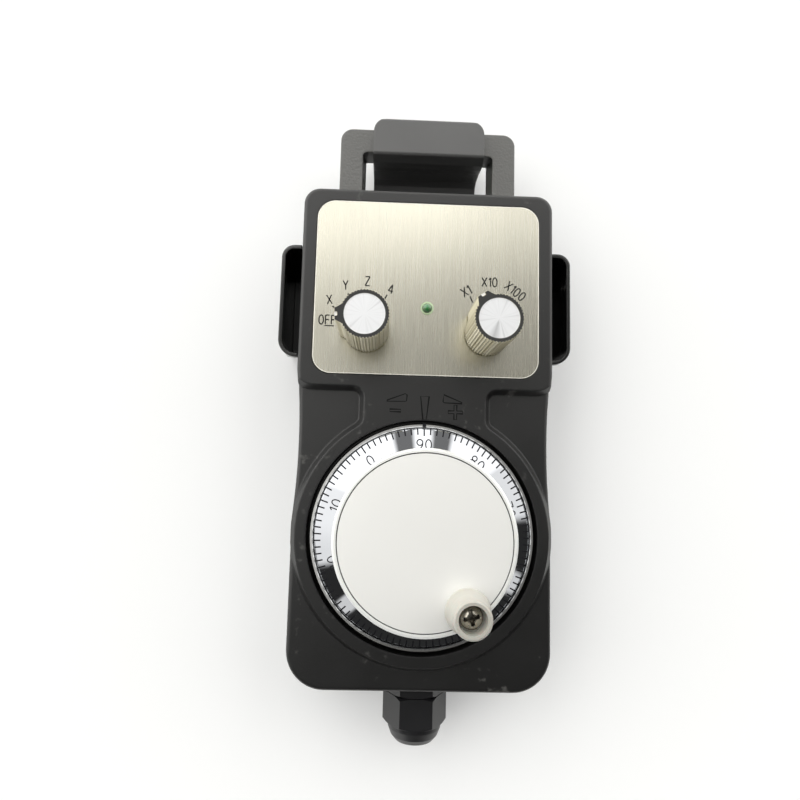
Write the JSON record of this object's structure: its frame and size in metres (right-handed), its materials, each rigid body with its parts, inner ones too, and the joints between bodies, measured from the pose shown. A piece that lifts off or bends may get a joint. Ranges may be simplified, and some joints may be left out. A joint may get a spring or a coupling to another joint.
{
  "type": "pulse generator handwheel",
  "caption": "Hand-held pulse generator with a graduated handwheel, two selector knobs and a lamp, hanging by its loop in a wall holder.",
  "frame": {"origin": "centre of the holder's screw pattern, on the holder's back face", "axes": "+Z the way the controls face, +Y from the cable gland towards the hook, +X to the right seen from the front"},
  "size_m": [0.0824, 0.1784, 0.05],
  "materials": {
    "holder_plastic": "fine satin moulding, glossier inside the cheeks",
    "case_plastic": "fine spark-eroded matte texture",
    "seal_rubber": "matte",
    "screw_steel": "bright zinc plate",
    "panel_steel": "vertical brushed grain",
    "bezel_nickel": "bright nickel plate",
    "lamp_green": "clear tinted lens",
    "switch_plastic": "moulded",
    "spindle_steel": "turned",
    "knob_plastic": "glossy, fluted",
    "knob_cap_aluminium": "circular brushed",
    "dial_chrome": "mirror chrome with black filled graduations",
    "housing_aluminium": "die cast",
    "bearing_steel": "ground",
    "detent_brass": "rolled",
    "code_steel": "etched",
    "sensor_plastic": "moulded",
    "board_laminate": "solder mask",
    "wheel_aluminium": "diamond turned",
    "wheel_plate_aluminium": "fine satin",
    "grip_ivory": "smooth ivory moulding",
    "strip_plastic": "moulded",
    "gland_plastic": "moulded nylon"
  },
  "bodies": {
    "holder": {"wall_holder": "holder_plastic"},
    "pendant": {"rear_case": "case_plastic", "front_case": "case_plastic", "case_seal": "seal_rubber", "case_screws": "screw_steel", "control_panel": "panel_steel", "led_bezel": "bezel_nickel", "led_lens": "lamp_green", "axis_switch_body": "switch_plastic", "axis_switch_nut": "bezel_nickel", "multiplier_switch_body": "switch_plastic", "multiplier_switch_nut": "bezel_nickel", "bezel_ring": "dial_chrome", "encoder_housing": "housing_aluminium", "encoder_screws": "screw_steel", "front_bearing_outer": "bearing_steel", "rear_bearing_outer": "bearing_steel", "bearing_balls": "bearing_steel", "detent_spring": "detent_brass", "optical_sensor": "sensor_plastic", "sensor_board": "board_laminate", "board_screws": "screw_steel", "terminal_board": "board_laminate", "terminal_strip": "strip_plastic", "terminal_screws": "screw_steel", "gland_body": "gland_plastic", "gland_locknut": "gland_plastic", "gland_washer": "seal_rubber", "gland_seal": "seal_rubber", "gland_nut": "gland_plastic"},
    "handwheel": {"front_bearing_inner": "bearing_steel", "rear_bearing_inner": "bearing_steel", "bearing_spacer": "spindle_steel", "wheel_shaft": "spindle_steel", "shaft_clip": "spindle_steel", "detent_wheel": "detent_brass", "code_disc": "code_steel", "disc_hub": "housing_aluminium", "dial_ring": "dial_chrome", "wheel_body": "wheel_aluminium", "wheel_plate": "wheel_plate_aluminium", "wheel_screw": "screw_steel", "grip_sleeve": "spindle_steel", "grip_screw": "screw_steel"},
    "grip": {"crank_grip": "grip_ivory"},
    "axis_selector": {"axis_switch_shaft": "spindle_steel", "axis_knob": "knob_plastic", "axis_knob_cap": "knob_cap_aluminium", "axis_knob_set_screw": "screw_steel"},
    "multiplier_selector": {"multiplier_switch_shaft": "spindle_steel", "multiplier_knob": "knob_plastic", "multiplier_knob_cap": "knob_cap_aluminium", "multiplier_knob_set_screw": "screw_steel"}
  },
  "joints": [
    {"name": "pendant_lift", "type": "slide", "parent": "holder", "child": "pendant", "axis": [0, 1, 0], "range_m": [0, 0.01]},
    {"name": "handwheel_turn", "type": "hinge", "parent": "pendant", "child": "handwheel", "pos_m": [0, -0.064, 0.0283], "axis": [0, 0, 1], "continuous": true},
    {"name": "grip_spin", "type": "hinge", "parent": "handwheel", "child": "grip", "pos_m": [0.01062, -0.08023, 0.0407], "axis": [0, 0, 1], "continuous": true},
    {"name": "axis_select", "type": "hinge", "parent": "pendant", "child": "axis_selector", "pos_m": [-0.0165, -0.009, 0.0283], "axis": [0, 0, -1], "range_deg": [0, 120]},
    {"name": "multiplier_select", "type": "hinge", "parent": "pendant", "child": "multiplier_selector", "pos_m": [0.0165, -0.009, 0.0283], "axis": [0, 0, -1], "range_deg": [0, 60]}
  ]
}
